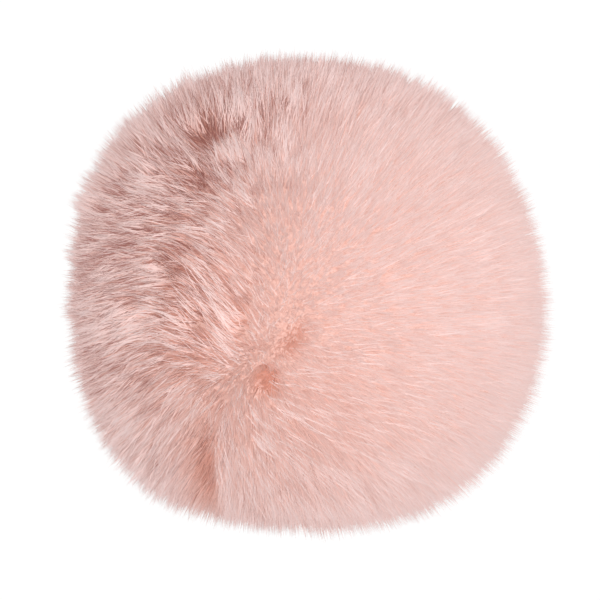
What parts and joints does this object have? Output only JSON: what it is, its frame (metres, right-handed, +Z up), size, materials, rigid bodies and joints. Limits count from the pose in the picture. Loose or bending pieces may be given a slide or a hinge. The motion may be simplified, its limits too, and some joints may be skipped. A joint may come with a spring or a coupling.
{
  "type": "faux fur pom pom",
  "caption": "Round fluffy ball of long combed pile on a small stuffed backing, with a level spot underneath to rest on or to sew down.",
  "frame": {"origin": "centre of the level spot under the ball, on the surface that it rests on", "axes": "+Z up through the ball's middle, +Y towards the top of the pictured view, +X to its right; the pile's whorl looks up and a little towards -Y and -X"},
  "size_m": [0.1095, 0.1083, 0.1047],
  "materials": {
    "fur": "soft, fluffy, pale pink with lighter tips and deeper coral roots"
  },
  "bodies": {
    "root": {"fur_ball": "fur"}
  },
  "joints": []
}
